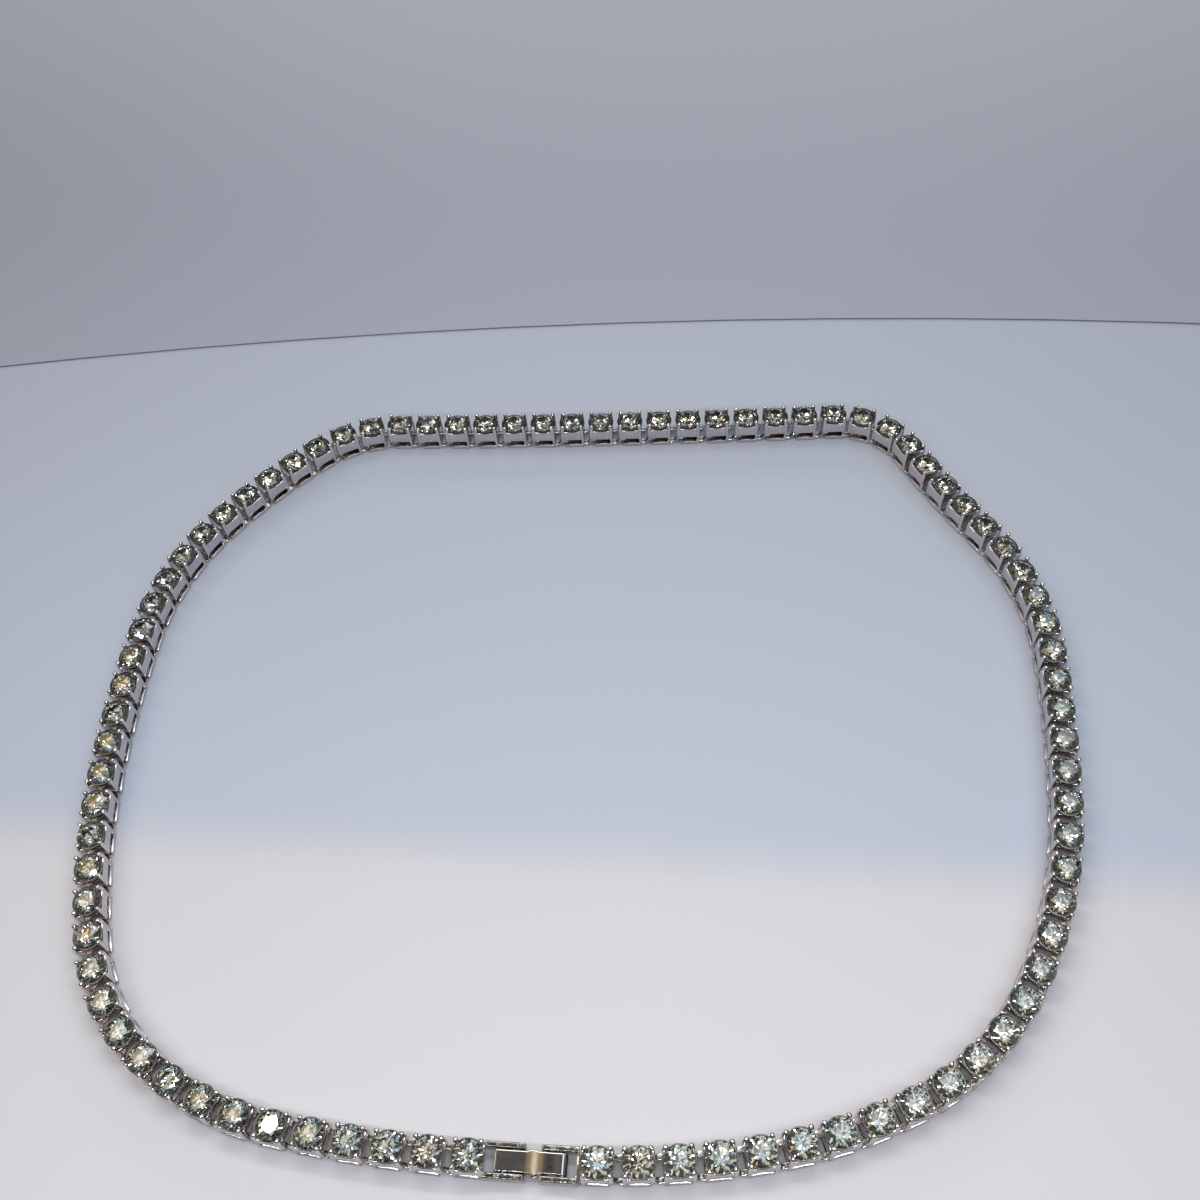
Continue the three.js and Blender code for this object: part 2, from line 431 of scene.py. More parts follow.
    def base(self) -> Surface:
        """The foot that lies on the table, bowed: its top sinks with the square of the distance.

        Returns:
            The closed foot.
        """
        foot = rounded_block((-self.half, -self.half, 0.0),
                             (self.base_front, self.half, self.base_top), self.corner,
                             self.base_rim, 8)
        middle = (self.base_front - self.half) / 2
        away = (foot.points[:, 0] - middle) / (self.base_front - middle)
        foot.points[:, 2] *= 1 - self.base_bow * np.clip(away, -1, 1) ** 2
        return foot

    def legs(self) -> list[Surface]:
        """The two posts at the back and the low wall between them.

        Returns:
            The posts and the wall, each closed.
        """
        back, inner = -self.half, self.half - self.post
        post = rounded_block((back, inner, 0.0),
                             (back + self.leg, self.half, self.plate_bottom + 0.3),
                             self.corner - 0.02, 0.02)
        wall = rounded_block((back + 0.1, -inner - 0.1, self.base_top - 0.3),
                             (back + self.wall, inner + 0.1, self.plate_bottom + 0.2), 0.05, 0.03)
        return [*post.both_sides(), wall]

    def hooks(self) -> list[Surface]:
        """The two flat hooks at the back, which rise into the slot of the setting behind.

        Their middle line runs level, climbs by half a cosine wave and runs level again. Their
        outer side draws in evenly towards the tip, and a quarter circle rounds their end.

        Returns:
            The two closed hooks.
        """
        along = np.concatenate([np.linspace(0.0, self.hook_straight, 12), [0.93, 0.97, 0.99, 1.0]])
        away = along * (self.hook_reach + self.hook_root) - self.hook_root
        climb = np.clip((away - self.hook_climb[0]) / self.hook_climb[1], 0, 1)
        rise = (0.5 - 0.5 * np.cos(math.pi * climb)) * (self.hook_high - self.hook_low)
        outer = self.hook_outer - (self.hook_outer - self.hook_tip_outer) * np.clip(along, 0.25, 1)
        tip = (along - self.hook_straight) / (1 - self.hook_straight)
        round_end = np.sqrt(1 - np.clip(tip, 0, 0.98) ** 2)
        wide = (outer - self.hook_inner) / 2 * (0.3 + 0.7 * round_end)
        thick = self.hook_thick * (0.4 + 0.6 * round_end)
        section = outline(1.0, 1.0, 0.35, 0, 3)
        y = (outer + self.hook_inner)[:, None] / 2 + section[:, 0] * wide[:, None]
        z = (self.hook_low + rise)[:, None] + section[:, 1] * thick[:, None]
        hook = loft(rings_of((-self.half - away)[:, None], y, z)[:, ::-1], finish=1)
        return hook.both_sides()

    def claws(self) -> Surface:
        """Four posts that rise from the corners, lean in over the stone and end in a round top.

        Each is a stack of circles. Their middles slide towards the stone, and their radius
        shrinks by a quarter circle at the tip.

        Returns:
            The four closed claws, as one surface.
        """
        dome = np.radians([0.0, 22.0, 45.0, 65.0, 82.0])
        tip = self.claw_tip - self.claw_dome * (1 - np.sin(dome))
        height = np.concatenate([[self.claw_foot, 4.1, 4.4], tip])[:, None]
        lean = np.array([0.0, 0.15, 0.6, 1.0, 1.0, 1.0, 1.0, 1.0])
        radius = self.claw_radius * np.concatenate([[1, 1, 1], np.cos(dome)])[:, None]
        out = (self.claw_out + (self.claw_in - self.claw_out) * lean)[:, None]
        turn = circle(12)
        return merged([loft(rings_of(out * right + radius * np.cos(turn),
                                     out * rear + radius * np.sin(turn), height), finish=1)
                       for right, rear in ((1, 1), (-1, 1), (-1, -1), (1, -1))])[0]


def merged(surfaces: list[Surface]) -> list[Surface]:
    """Joins surfaces by their finish number.

    Args:
        surfaces: The surfaces.

    Returns:
        One surface for each finish number, in order.
    """
    result = []
    for finish in sorted({s.finish for s in surfaces}):
        group = [s for s in surfaces if s.finish == finish]
        starts = np.cumsum([0] + [len(s.points) for s in group[:-1]])
        faces: dict[int, list[np.ndarray]] = {}
        for surface, start in zip(group, starts):
            for rows in surface.faces:
                faces.setdefault(rows.shape[1], []).append(rows + start)
        result.append(Surface(np.concatenate([s.points for s in group]),
                              [np.concatenate(rows) for rows in faces.values()], finish))
    return result


@dataclass
class Stone:
    """A round brilliant: a table, stars, kites and upper halves over mains and lower halves."""

    radius: float = 1.9
    table: float = 1.06
    star: float = 1.44
    girdle: float = 4.16
    girdle_band: float = 0.06
    table_height: float = 4.82
    culet: float = 2.52
    low_reach: float = 0.24
    mains: int = 8

    def points(self) -> np.ndarray:
        """The middle of the table, five rings of points round it, and the point below.

        The crown and the underside are straight slopes, and the star's and the mains' rings lie
        on them at the middles of their sides.

        Returns:
            One row of X, Y and Z for each point.
        """
        n = self.mains
        half_step = math.cos(math.pi / n)
        top = self.girdle + self.girdle_band
        fall = (self.table_height - top) / (self.radius - self.table)
        slope = (self.girdle - self.culet) / self.radius
        low = self.low_reach * self.radius
        rings = [
            (self.table, self.table_height, n, 0.5),
            (self.star, self.table_height - fall * (self.star * half_step - self.table), n, 0.0),
            (self.radius, top, 2 * n, 0.0),
            (self.radius, self.girdle, 2 * n, 0.0),
            (low, self.culet + low * half_step * slope, n, 0.0),
        ]
        rows = [np.array([[0.0, 0.0, self.table_height]])]
        for radius, height, count, offset in rings:
            turn = (np.arange(count) + offset) * 2 * math.pi / count
            rows.append(np.column_stack([radius * np.cos(turn), radius * np.sin(turn),
                                         np.full(count, height)]))
        rows.append(np.array([[0.0, 0.0, self.culet]]))
        return np.concatenate(rows)

    def triangles(self) -> np.ndarray:
        """Joins the rings: the table's fan, then each kind of facet from the top down.

        Returns:
            Corner numbers, one row for each triangle, facing outwards.
        """
        n = self.mains
        k = np.arange(n)
        after = (k + 1) % n
        start = 1 + np.cumsum([0, n, n, 2 * n, 2 * n, n])
        table, star, top, low, main, point = start
        spoke, left, right = 2 * k + 1, 2 * k, (2 * k + 2) % (2 * n)
        m = np.arange(2 * n)
        onward = (m + 1) % (2 * n)
        rows = [
            (0 * k, table + k, table + after),
            (table + k, star + after, table + after),
            (table + k, star + k, top + spoke),
            (table + k, top + spoke, star + after),
            (star + k, top + left, top + spoke),
            (star + after, top + spoke, top + right),
            (low + m, low + onward, top + onward),
            (low + m, top + onward, top + m),
            (low + left, main + k, low + spoke),
            (low + spoke, main + after, low + right),
            (main + k, point + 0 * k, low + spoke),
            (low + spoke, point + 0 * k, main + after),
        ]
        return np.concatenate([np.stack(corners, axis=-1) for corners in rows])

    def body(self) -> Surface:
        """The stone's closed surface, in triangles."""
        return Surface(self.points(), [self.triangles()])


# ---- the clasp ----


@dataclass
class Clasp:
    """The fold-over clasp, with its middle at the origin and its length along X."""

    rail_outer: float = 2.17
    rail_width: float = 0.72
    rail_bottom: float = 0.5
    rail_top: float = 2.6
    rail_edge: float = 0.14
    rail_end: float = 0.18
    rail_step: float = 0.06
    file_depth: float = 0.011
    file_waves: Triple = (0.83, 2.3, 1.31)
    left_start: float = -6.35
    left_end: float = -1.05
    right_start: float = 0.9
    right_end: float = 5.55
    crossbar: float = 0.28
    crossbar_top: float = 1.8
    hook_pin: Triple = (-3.8, 1.45, 0.36)
    leaf_pin: Triple = (1.22, 1.22, 0.24)
    cover_pin: Triple = (3.55, 1.9, 0.2)
    leaf_half: float = 1.3
    leaf_left: float = -4.78
    leaf_edge: float = 0.13
    leaf_crowd: float = 0.08
    flare: float = 0.2
    flare_middle: float = -0.08
    flare_half: float = 0.95
    climb_middle: float = 0.2
    climb_length: float = 2.8
    hollow_middle: float = 2.55
    hollow_half: float = 1.0
    base_bottom: float = 0.5
    base_top: float = 0.8
    lip: float = 0.28
    lip_top: float = 1.75
    cover_bottom: float = 2.2
    cover_top: float = 2.6
    cover_lip: float = 2.05
    cover_rise: float = 0.15
    knuckle: tuple[float, float] = (0.71, 0.5)
    barrel: tuple[float, float] = (0.7, 0.46)

    def rails(self, start: float, end: float) -> list[Surface]:
        """A frame's two rails: round-edged sections along X, with round ends and a filed top.

        The top sinks and rises by three sines of unlike length, one swelling another.

        Args:
            start: Left end.
            end: Right end.

        Returns:
            The rail at the rear and its mirror image.
        """
        steps = int((end - start) / self.rail_step)
        near_end = self.rail_end * np.array([0.0, 1 / 6, 0.5, 1.0])
        x = np.concatenate([start + near_end, np.linspace(start + 0.25, end - 0.25, steps),
                            end - near_end[::-1]])[:, None]
        inwards = np.clip(np.minimum(x - start, end - x) / self.rail_end, 0, 1)
        draw_in = 1 - np.sqrt(1 - (1 - inwards) ** 2)
        half_y, half_z = self.rail_width / 2, (self.rail_top - self.rail_bottom) / 2
        section = outline(half_y, half_z, self.rail_edge, 1, 5)
        short, long, middling = (np.sin(2 * math.pi * x / length + late)
                                 for length, late in zip(self.file_waves, (0.0, 0.8, 0.0)))
        wave = short * (0.5 + 0.5 * long) + 0.5 * middling
        top = np.clip(section[:, 1] / half_z, 0, 1) ** 2
        z = (self.rail_top + self.rail_bottom) / 2 + section[:, 1] * (1 - 0.12 * draw_in)
        y = self.rail_outer - half_y + section[:, 0] * (1 - 0.45 * draw_in)
        rail = loft(rings_of(x, y, z - self.file_depth * (1 + wave) * top))
        return rail.both_sides()

    def pin(self, place: Triple) -> Surface:
        """A pin between two rails: circles that shrink by a quarter circle at each end.

        Args:
            place: Its X, Z and radius.

        Returns:
            The closed pin.
        """
        x, z, radius = place
        end = 0.35 * radius
        along = self.rail_outer - self.rail_width / 2 - np.array([0, 0.3 * end, end])
        size = radius - np.array([end, 0.3 * end, 0])
        return spun_y(x, z, np.concatenate([-along, along[::-1]]),
                      np.concatenate([size, size[::-1]]), 16)

    def left_frame(self) -> list[Surface]:
        """The left rails and the pin that the base leaf hooks over."""
        return [*self.rails(self.left_start, self.left_end), self.pin(self.hook_pin)]

    def right_frame(self) -> list[Surface]:
        """The right rails, the crossbar and the two leaves' pins.

        Returns:
            The closed surfaces.
        """
        half = self.rail_outer - self.rail_width + 0.1
        bar = rounded_block((self.right_end - self.crossbar, -half, self.rail_bottom),
                            (self.right_end, half, self.crossbar_top), 0.05, 0.06)
        pins = [self.pin(self.leaf_pin), self.pin(self.cover_pin)]
        return [*self.rails(self.right_start, self.right_end), bar, *pins]

    def leaf(self, left: float, right: float, bottom: float, top: float, lip: float,
             rise: float) -> Surface:
        """A leaf: round-edged cross-sections along X, wider over the flare.

        The half width grows by a cosine bump over the flare. The upper side climbs there by half
        a cosine wave, and sinks in a cosine hollow right of it. At the left end the section
        reaches down or up to the lip. The flats' points crowd towards the round edges, so that
        the flats shade flat.

        Args:
            left: Left end.
            right: Right end.
            bottom: Underside.
            top: Upper side.
            lip: Height that the lip at the left end reaches.
            rise: How far the upper side climbs.

        Returns:
            The closed leaf.
        """
        ends = np.array([0.0, 0.03, 0.1, 0.2, 0.28, 0.36, 0.44])
        x = np.concatenate([left + ends, np.linspace(left + 0.7, right - 0.12, 44),
                            [right - 0.04, right]])[:, None]
        shrink = np.ones_like(x)
        shrink[:3, 0] = [0.86, 0.94, 0.985]
        away = np.clip(np.abs(x - self.flare_middle) / self.flare_half, 0, 1)
        bump = 0.5 + 0.5 * np.cos(math.pi * away)
        half = (self.leaf_half + self.flare * bump) * (0.12 + 0.88 * shrink)
        near_lip = np.clip((left + self.lip + 0.1 - x) / 0.12, 0, 1)
        climb = np.clip((x - self.climb_middle) / self.climb_length + 0.5, 0, 1)
        hollow = np.clip(np.abs(x - self.hollow_middle) / self.hollow_half, 0, 1)
        sink = rise * (0.5 + 0.5 * np.cos(math.pi * climb) + 0.07 * (1 + np.cos(math.pi * hollow)))
        low = bottom + min(lip - bottom, 0.0) * near_lip
        high = top - sink + max(lip - top, 0.0) * near_lip
        thick = (high - low) / 2 * shrink
        edge = np.minimum(self.leaf_edge, thick)
        section = outline(2.0, 2.0, 1.0, 3, 3)
        flat = np.clip(section, -1, 1)
        bend = section - flat
        flat = np.sign(flat) * np.abs(flat) ** self.leaf_crowd
        y, z = (flat[:, k] * (size - edge) + bend[:, k] * edge
                for k, size in enumerate((half, thick)))
        return loft(rings_of(x, y, z + (high + low) / 2))

    def sleeve(self, pin: Triple, radius: float, bore: float) -> Surface:
        """A curled barrel round a pin: a ring-shaped profile turned about the pin's axis.

        Args:
            pin: The pin's X, Z and radius.
            radius: The barrel's radius.
            bore: The radius of the hole through it.

        Returns:
            The closed barrel.
        """
        half, edge = self.leaf_half - 0.01, 0.07
        along = np.array([-half, -half + edge, half - edge, half, half, -half])
        size = np.array([radius - edge, radius, radius, radius - edge, bore, bore])
        return spun_y(pin[0], pin[1], along, size, 32, closed=True)

    def base_leaf(self) -> list[Surface]:
        """The lower leaf, with a lip turned up at the left and a knuckle round its pin."""
        leaf = self.leaf(self.leaf_left, self.leaf_pin[0], self.base_bottom, self.base_top,
                         self.lip_top, 0.0)
        return [leaf, self.sleeve(self.leaf_pin, *self.knuckle)]

    def cover(self) -> list[Surface]:
        """The upper leaf, with a lip turned down at the left and a barrel round its pin."""
        leaf = self.leaf(self.leaf_left, self.cover_pin[0], self.cover_bottom, self.cover_top,
                         self.cover_lip, self.cover_rise)
        return [leaf, self.sleeve(self.cover_pin, *self.barrel)]


# ---- finishes ----


class Board:
    """A node tree, with short calls that add nodes and feed them."""

    def __init__(self, tree: bpy.types.NodeTree) -> None:
        """Takes the tree to work on."""
        self.tree = tree

    def feed(self, socket: Socket, value: object) -> None:
        """Joins an output to a socket, or gives the socket a value of its own.

        Args:
            socket: The input.
            value: An output, a number or a row of numbers. A colour is made opaque.
        """
        if isinstance(value, Socket):
            self.tree.links.new(value, socket)
        else:
            socket.default_value = (*value, 1.0) if socket.type == "RGBA" else value

    def fill(self, node: bpy.types.Node, **values: object) -> bpy.types.Node:
        """Feeds a node's sockets and sets its properties.

        Args:
            node: The node.
            values: What each socket or property gets, with underscores for spaces in its name.

        Returns:
            The same node.
        """
        for key, value in values.items():
            label = key.replace("_", " ")
            if label in node.inputs:
                self.feed(node.inputs[label], value)
            else:
                setattr(node, key, value)
        return node

    def add(self, kind: str, **values: object) -> bpy.types.Node:
        """Adds a node, by its type without the ShaderNode prefix, and fills it."""
        return self.fill(self.tree.nodes.new("ShaderNode" + kind), **values)

    def noise(self, place: Socket, scale: float, detail: float) -> Socket:
        """Adds a noise pattern over places, and returns its value."""
        return self.add("TexNoise", Vector=place, Scale=scale, Detail=detail).outputs["Fac"]

    def ranged(self, value: Socket, start: float, end: float, low: float = 0.0,
               high: float = 1.0, shape: str = "LINEAR") -> Socket:
        """Adds a map from one range to another.

        Args:
            value: What is mapped.
            start: Value that becomes low.
            end: Value that becomes high.
            low: Result at the start.
            high: Result at the end.
            shape: The node's word for the way from low to high.

        Returns:
            The mapped value.
        """
        ranged = self.add("MapRange", Value=value, From_Min=start, From_Max=end, To_Min=low,
                          To_Max=high, interpolation_type=shape)
        return ranged.outputs["Result"]

    def mixed(self, share: Socket, first: object, second: object) -> Socket:
        """Adds a blend of two colours, each a plain colour or an output.

        Args:
            share: The second colour's share.
            first: The first colour.
            second: The second colour.

        Returns:
            The blended colour.
        """
        mix = self.add("Mix", data_type="RGBA")
        for number, value in ((0, share), (6, first), (7, second)):
            self.feed(mix.inputs[number], value)
        return mix.outputs[2]


class Paint(Board):
    """A new material's node tree, with its output and surface shader in place."""

    def __init__(self, name: str) -> None:
        """Starts the material.

        Args:
            name: The material's name.
        """
        self.material = bpy.data.materials.new(name)
        self.material.use_nodes = True
        super().__init__(self.material.node_tree)
        self.tree.nodes.clear()
        self.shader = self.add("BsdfPrincipled")
        self.add("OutputMaterial", Surface=self.shader.outputs["BSDF"])

    def place(self, scale: Triple = (1.0, 1.0, 1.0)) -> Socket:
        """Adds the object's own coordinates, stretched by a scale."""
        here = self.add("TexCoord").outputs["Object"]
        return self.add("Mapping", Vector=here, Scale=scale).outputs["Vector"]

    def bump(self, height: Socket, strength: float, distance: float, **below: Socket) -> Socket:
        """Adds small heights, on top of the normal of others below them."""
        return self.add("Bump", Height=height, Strength=strength, Distance=distance,
                        **below).outputs["Normal"]


@dataclass(frozen=True)
class PlatedMetal:
    """Polished plated metal: swirls in its gloss, tint patches, hairline scratches, soft dents."""

    name: str
    bright: Colour
    shade: Colour
    smooth: float
    rough: float
    scratch: float
    dents: float = 0.0
    patch_scale: float = 650.0
    swirl_scale: float = 1900.0
    dent_scale: float = 1500.0
    hair_stretch: Triple = (9000.0, 900.0, 9000.0)
    scratch_depth: float = 0.00002
    dent_depth: float = 0.00004

    def material(self) -> Material:
        """Builds the material.

        Returns:
            The new material.
        """
        paint = Paint(self.name)
        here = paint.place()
        patches = paint.ranged(paint.noise(here, self.patch_scale, 4.0), 0.35, 0.65)
        swirls = paint.noise(here, self.swirl_scale, 3.0)
        hairs = paint.noise(paint.place(self.hair_stretch), 1.0, 2.0)
        dents = paint.bump(paint.noise(here, self.dent_scale, 1.0), self.dents, self.dent_depth)
        paint.fill(paint.shader, Metallic=1.0,
                   Base_Color=paint.mixed(patches, self.bright, self.shade),
                   Roughness=paint.ranged(swirls, 0.3, 0.7, self.smooth, self.rough),
                   Normal=paint.bump(hairs, self.scratch, self.scratch_depth, Normal=dents))
        return paint.material


@dataclass(frozen=True)
class CutStone:
    """A clear cut stone that bends light strongly, each one with a faint tint of its own."""

    name: str
    bend: float = 2.15
    cool: Colour = (0.42, 0.46, 0.44)
    warm: Colour = (0.5, 0.47, 0.43)
    tint_scale: float = 160.0

    def material(self) -> Material:
        """Builds the material.

        Returns:
            The new material.
        """
        paint = Paint(self.name)
        drift = paint.ranged(paint.noise(paint.place(), self.tint_scale, 1.0), 0.4, 0.6)
        paint.fill(paint.shader, Base_Color=paint.mixed(drift, self.cool, self.warm),
                   Transmission_Weight=1.0, Roughness=0.0, IOR=self.bend)
        return paint.material


@dataclass(frozen=True)
class PaleSheet:
    """A pale matt surface with painted shade: its colour changes smoothly from near the clasp to the
    rear.
    """

    name: str
    near: Colour
    far: Colour
    change_start: float
    change_end: float

    def material(self) -> Material:
        """Builds the material.

        Returns:
            The new material.
        """
        paint = Paint(self.name)
        rearwards = paint.add("SeparateXYZ", Vector=paint.place()).outputs["Y"]
        share = paint.ranged(rearwards, self.change_start, self.change_end, shape="SMOOTHSTEP")
        paint.fill(paint.shader, Base_Color=paint.mixed(share, self.near, self.far),
                   Roughness=0.5)
        return paint.material


# ---- making pieces ----


def put_in_scene(name: str, data: bpy.types.ID) -> Thing:
    """Makes an object and links it to the scene.

    Args:
        name: The object's name.
        data: Its mesh, lamp or camera.

    Returns:
        The new object.
    """
    made = bpy.data.objects.new(name, data)
    bpy.context.scene.collection.objects.link(made)
    return made


def make_mesh(name: str, surfaces: list[Surface], materials: list[Material],
              sharp: float = METAL_SHARP) -> Thing:
    """Puts surfaces, given in millimetres, into one mesh object in metres.

    Args:
        name: The object's name.
        surfaces: The surfaces; each one's finish number picks its material.
        materials: The materials in order.
        sharp: Edges sharper than this many degrees stay crisp.

    Returns:
        The new object, linked to the scene.
    """
    starts = np.cumsum([0] + [len(s.points) for s in surfaces[:-1]])
    groups = [(rows + start, s.finish) for s, start in zip(surfaces, starts) for rows in s.faces]
    points = np.concatenate([s.points for s in surfaces]) * MM
    corners = np.concatenate([rows.ravel() for rows, _ in groups])
    counts = [len(rows) for rows, _ in groups]
    sizes = np.repeat([rows.shape[1] for rows, _ in groups], counts)
    finishes = np.repeat([finish for _, finish in groups], counts)
    mesh = bpy.data.meshes.new(name)
    mesh.vertices.add(len(points))
    mesh.vertices.foreach_set("co", points.astype(np.float32).ravel())
    mesh.loops.add(len(corners))
    mesh.loops.foreach_set("vertex_index", corners.astype(np.int32))
    mesh.polygons.add(len(sizes))
    mesh.polygons.foreach_set("loop_start", (np.cumsum(sizes) - sizes).astype(np.int32))
    mesh.polygons.foreach_set("material_index", finishes.astype(np.int32))
    mesh.update(calc_edges=True)
    mesh.set_sharp_from_angle(angle=math.radians(sharp))
    for material in materials:
        mesh.materials.append(material)
    return put_in_scene(name, mesh)


def settle(made: Thing, body: Body, slot: Slot, *nodes: str) -> Thing:
    """Puts a piece on its body, hides the CAD nodes that it stands for, and logs it.

    Args:
        made: The piece.
        body: The body that it rides on.
        slot: Its material slot; not used.
        nodes: Names of the CAD nodes that it replaces.

    Returns:
        The same piece.
    """
    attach(made, body.value)
    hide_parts(*nodes)
    LOG.info("%s: %d faces, rides on %s", made.name, len(made.data.polygons), body.value)
    return made


@dataclass
class Chain:
    """All the settings with their stones, one metal piece and one stone piece for each node."""

    route: Route
    origin: np.ndarray
    setting: Setting = field(default_factory=Setting)
    stone: Stone = field(default_factory=Stone)
    yaw: float = 0.6
    stone_tilt: float = 1.6

    def build(self, metals: list[Material], gem: Material) -> None:
        """Builds every stretch.

        Args:
            metals: Finishes of the settings, their claws and the stones' seats in painted shade.
            gem: Finish of the stones.
        """
        draws = np.random.default_rng(SEED)
        heading, centres, number = self.route.walk(self.origin)
        count = len(heading)
        heading = heading + np.radians(draws.normal(0, self.yaw, count))
        one = self.setting
        shared = [one.basket(), one.floor(), one.cup(), one.base(), *one.legs(), one.claws()]
        kinds = (merged(shared), merged([*shared, *one.hooks()]))
        spin = draws.uniform(0, math.pi / 4, count)
        roll, pitch = np.radians(draws.normal(0, self.stone_tilt, (2, count)))
        lean = turning(Axis.Y, pitch) @ turning(Axis.X, roll)
        pivot = np.array([0.0, 0.0, self.stone.girdle])
        body = self.stone.body().moved(*-pivot)
        for index, stretch in enumerate(self.route.stretches):
            here = np.flatnonzero(number == index)
            node = "clasp_end_left" if stretch.name == "clasp_end" else f"chain_{stretch.name}"
            metal = [p.turned(turning(Axis.Z, heading[chosen]), centres[chosen])
                     for parts, chosen in zip(kinds, (here[here == 0], here[here > 0]))
                     if len(chosen) for p in parts]
            settle(make_mesh(f"settings_{stretch.name}", merged(metal), metals),
                   Body.NECKLACE, Slot.SETTING, node)
            turns = turning(Axis.Z, heading[here] + spin[here]) @ lean[here]
            stones = body.turned(turns, centres[here] + pivot)
            settle(make_mesh(f"stones_{stretch.name}", [stones], [gem], STONE_SHARP),
                   Body.NECKLACE, Slot.STONE, node)


def build_clasp(clasp: Clasp, origin: np.ndarray, rail: Material, leaf: Material) -> None:
    """Builds the clasp's four pieces in place.

    Args:
        clasp: The clasp's sizes.
        origin: The clasp's middle.
        rail: Finish of the frames, darker than the settings' plating as painted shade.
        leaf: Finish of the leaves.
    """
    rows = (
        ("clasp_rails_left", clasp.left_frame(), rail, Body.NECKLACE, Slot.CLASP, "clasp_end_left"),
        ("clasp_rails_right", clasp.right_frame(), rail, Body.NECKLACE, Slot.CLASP,
         "clasp_frame_right"),
        ("clasp_lower_leaf", clasp.base_leaf(), leaf, Body.NECKLACE, Slot.LEAF, "clasp_base_leaf"),
        ("clasp_upper_leaf", clasp.cover(), leaf, Body.COVER, Slot.LEAF, "clasp_cover"),
    )
    for name, parts, finish, body, slot, node in rows:
        placed = [p.moved(*origin) for p in merged(parts)]
        settle(make_mesh(name, placed, [finish]), body, slot, node)


# ---- the studio ----


@dataclass
class Camera:
    """The camera, placed from the middle of the clasp, in millimetres and degrees."""

    place: Triple = (18.21, -32.31, 172.2)
    turned_left: float = 7.89
    looks_down: float = 55.43
    roll: float = -4.53
    lens: float = 39.09

    def build(self, origin: np.ndarray) -> None:
        """Makes the camera: its turn, its lift from straight down and its roll as one matrix.

        Args:
            origin: The middle of the clasp.
        """
        turn, lift, roll = np.radians([[self.turned_left], [90 - self.looks_down], [self.roll]])
        matrix = np.eye(4)
        matrix[:3, :3] = (turning(Axis.Z, turn) @ turning(Axis.X, lift) @ turning(Axis.Z, roll))[0]
        matrix[:3, 3] = (np.array(self.place) + origin) * MM
        data = bpy.data.cameras.new("camera")
        data.lens = self.lens
        data.clip_start, data.clip_end = 0.01, 20.0
        camera = put_in_scene("camera", data)
        camera.matrix_world = Matrix(matrix.tolist())
        bpy.context.scene.camera = camera


@dataclass(frozen=True)
class StripLamp:
    """A rectangular lamp that lies along X, in metres: its middle, its size, its tilt, its light."""

    name: str
    middle: Triple
    length: float
    width: float
    power: float
    colour: Colour
    tilt: float = 0.0

    def build(self) -> None:
        """Adds the lamp, unseen by the camera itself. A tilt in degrees turns it towards +Y."""
        data = bpy.data.lights.new(self.name, "AREA")
        data.shape, data.size, data.size_y = "RECTANGLE", self.length, self.width
        data.energy, data.color = self.power, self.colour
        made = put_in_scene(self.name, data)
        made.location = self.middle
        made.rotation_euler = (math.radians(self.tilt), 0.0, 0.0)
        made.visible_camera = False


@dataclass(frozen=True)
class DistantLamp:
    """A round lamp far away: the direction that it shines from, its width in degrees, its light."""

    name: str
    azimuth: float
    elevation: float
    spread: float
    strength: float
    colour: Colour

    def build(self) -> None:
        """Adds the lamp. Azimuth 0 is the rear of the table, and 90 is its right."""
        data = bpy.data.lights.new(self.name, "SUN")
        data.energy, data.color, data.angle = self.strength, self.colour, math.radians(self.spread)
        made = put_in_scene(self.name, data)
        dip, turn = math.radians(90 - self.elevation), math.radians(180 - self.azimuth)
        made.rotation_euler = (dip, 0.0, turn)


@dataclass(frozen=True)
class WallPatches:
    """Soft patches of light all over the room: their scale, where they start and are full."""

    scale: float
    start: float
    full: float
    colour: Colour


@dataclass(frozen=True)
class Glow:
    """A round patch of light: its direction, the cosines where it starts and is full, its light."""

    toward: Triple
    start: float
    full: float
    colour: Colour


